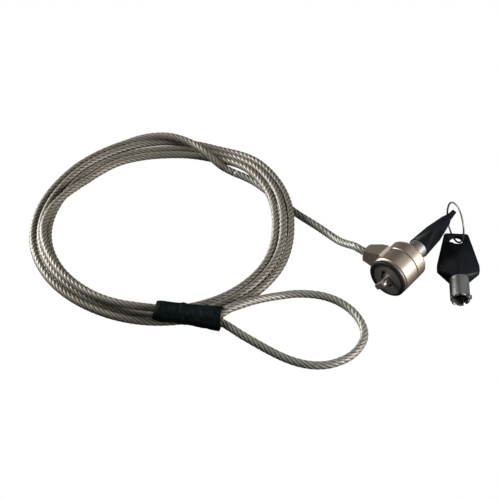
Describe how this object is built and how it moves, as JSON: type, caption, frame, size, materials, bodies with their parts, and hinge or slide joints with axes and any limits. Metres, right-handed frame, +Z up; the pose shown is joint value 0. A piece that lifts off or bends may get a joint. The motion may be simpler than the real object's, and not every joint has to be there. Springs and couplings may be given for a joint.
{
  "type": "laptop cable lock",
  "caption": "Laptop cable lock: swivelling tubular-key lock head with T bar, coiled steel cable with a crimped loop, and keys on a wire ring.",
  "frame": {"origin": "where the lock's axis crosses the front contact face, at the foot of the T bar's clear length", "axes": "-Y along the lock's axis towards the laptop, +Y towards the key, +Z up from the surface the lock lies on, the cable leaves towards -X"},
  "size_m": [0.216, 0.1556, 0.0261],
  "materials": {
    "barrel_metal": "satin",
    "face_metal": "matte",
    "contact_rubber": "matte",
    "t_bar_steel": "satin",
    "ferrule_metal": "satin",
    "cable_cover": "gloss",
    "sleeve_shrink": "satin",
    "chamber_brass": "satin",
    "pin_brass": "satin",
    "pin_steel": "gloss",
    "clip_steel": "matte",
    "key_metal": "satin",
    "key_plastic": "satin",
    "ring_wire": "gloss"
  },
  "bodies": {
    "collar": {"swivel_collar": "barrel_metal", "end_ferrule": "ferrule_metal", "cable_lead": "cable_cover", "cable_coil": "cable_cover", "cable_loop": "cable_cover", "loop_crimp": "ferrule_metal", "loop_sleeve": "sleeve_shrink"},
    "head": {"lock_housing": "barrel_metal", "front_flange": "face_metal", "contact_ring": "contact_rubber", "pin_chamber": "chamber_brass", "chamber_dowel": "pin_steel", "stop_pin": "pin_steel", "pin_springs": "pin_steel"},
    "plug": {"lock_plug": "chamber_brass", "t_bar": "t_bar_steel", "t_bar_pin": "pin_steel", "tail_clip": "clip_steel"},
    "drivers": {"driver_pins": "pin_brass"},
    "pins": {"key_pins": "pin_brass"},
    "key_1": {"key_1_tube": "key_metal", "key_1_bow": "key_plastic"},
    "ring": {"key_ring": "ring_wire"},
    "key_2": {"key_2_tube": "key_metal", "key_2_bow": "key_plastic"}
  },
  "joints": [
    {"name": "head_swivel", "type": "hinge", "parent": "collar", "child": "head", "pos_m": [0, 0.01, 0], "axis": [0, 1, 0], "continuous": true},
    {"name": "key_turn", "type": "hinge", "parent": "head", "child": "plug", "pos_m": [0, 0.01, 0], "axis": [0, -1, 0], "range_deg": [0, 90]},
    {"name": "driver_travel", "type": "slide", "parent": "head", "child": "drivers", "axis": [0, -1, 0], "range_m": [0, 0.0008], "stiffness_N_per_m": 10, "deforming": ["pin_springs"]},
    {"name": "key_1_slide", "type": "slide", "parent": "plug", "child": "key_1", "axis": [0, 1, 0], "range_m": [0, 0.012]},
    {"name": "key_pins_travel", "type": "slide", "parent": "plug", "child": "pins", "axis": [0, 1, 0], "range_m": [0, 0.0008]},
    {"name": "ring_swing", "type": "hinge", "parent": "key_1", "child": "ring", "pos_m": [0.0002, 0.0531, -0.0001], "axis": [-0.4751, 0.3327, 0.8146], "range_deg": [-2, 20]},
    {"name": "key_2_swing", "type": "hinge", "parent": "ring", "child": "key_2", "pos_m": [0.01154, 0.04516, -0.00252], "axis": [0.6731, -0.4713, 0.57], "range_deg": [-10, 20]}
  ],
  "couplings": [
    {"joint": "key_pins_travel", "follows": "key_1_slide", "ratio": 0.0666}
  ]
}
